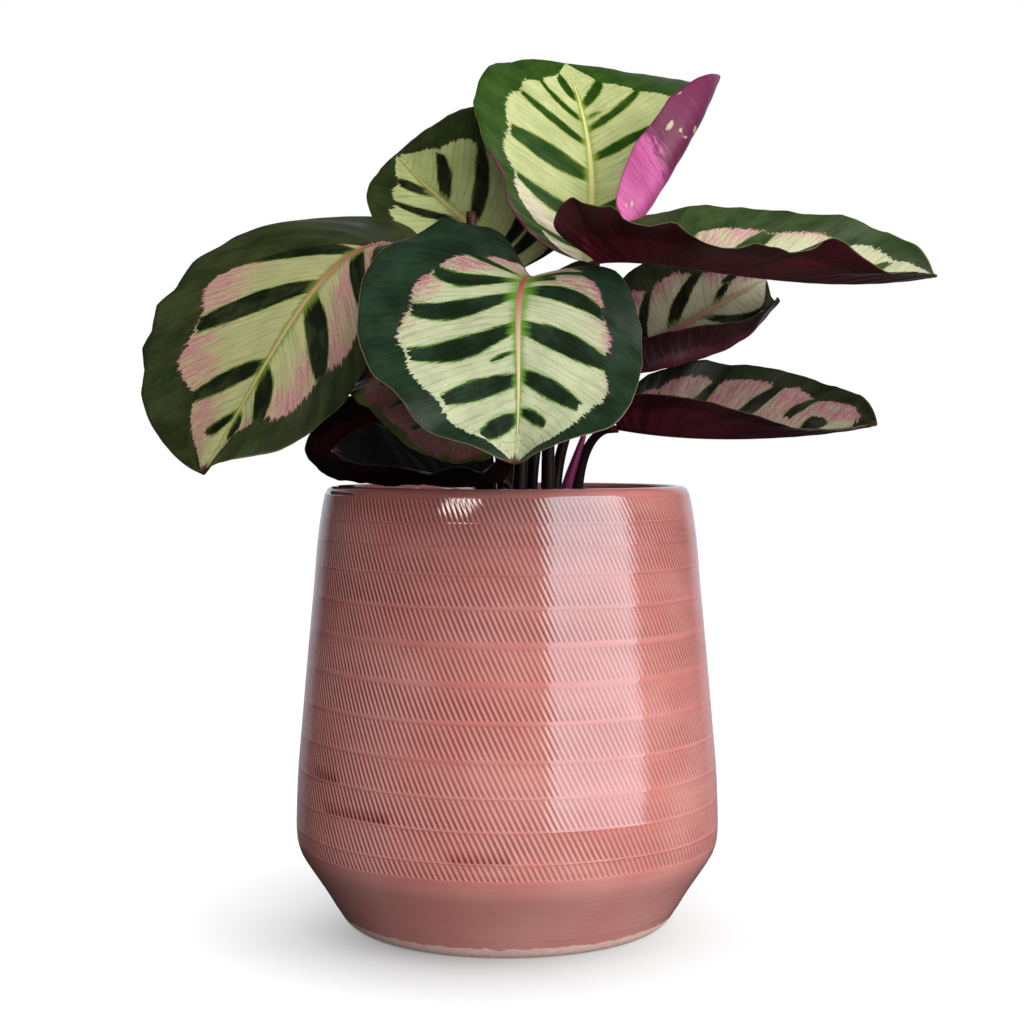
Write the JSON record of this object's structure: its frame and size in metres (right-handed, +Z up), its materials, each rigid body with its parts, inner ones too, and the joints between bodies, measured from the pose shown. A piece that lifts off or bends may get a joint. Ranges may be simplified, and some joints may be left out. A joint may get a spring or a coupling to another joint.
{
  "type": "potted cora calathea",
  "caption": "Patterned foliage plant with large oval leaves on slim stalks, growing in a glazed ceramic cover pot filled with soil.",
  "frame": {"origin": "centre of the pot's flat underside", "axes": "+Z up along the pot's axis, the front leaf faces -Y, +X is to the right of someone who looks at the front"},
  "size_m": [0.36, 0.236, 0.4139],
  "materials": {
    "glaze": "glossy dusty pink glaze",
    "soil": "rough dark potting soil",
    "leaf": "satin green leaf with a pale pattern, burgundy underneath",
    "stalk": "satin dark burgundy stalk",
    "sheath": "satin magenta leaf sheath"
  },
  "bodies": {
    "root": {"pot": "glaze", "soil": "soil", "leaf_front": "leaf", "leaf_left": "leaf", "leaf_top": "leaf", "leaf_back_left": "leaf", "leaf_upper_right": "leaf", "leaf_middle_right": "leaf", "leaf_lower_right": "leaf", "leaf_small": "leaf", "leaf_low_left": "leaf", "leaf_rim_left": "leaf", "stalk_front": "stalk", "stalk_left": "stalk", "stalk_top": "stalk", "stalk_back_left": "stalk", "stalk_upper_right": "stalk", "stalk_middle_right": "stalk", "stalk_lower_right": "stalk", "stalk_small": "stalk", "stalk_low_left": "stalk", "stalk_rim_left": "stalk", "stalk_cut": "stalk", "sheath": "sheath"}
  },
  "joints": []
}
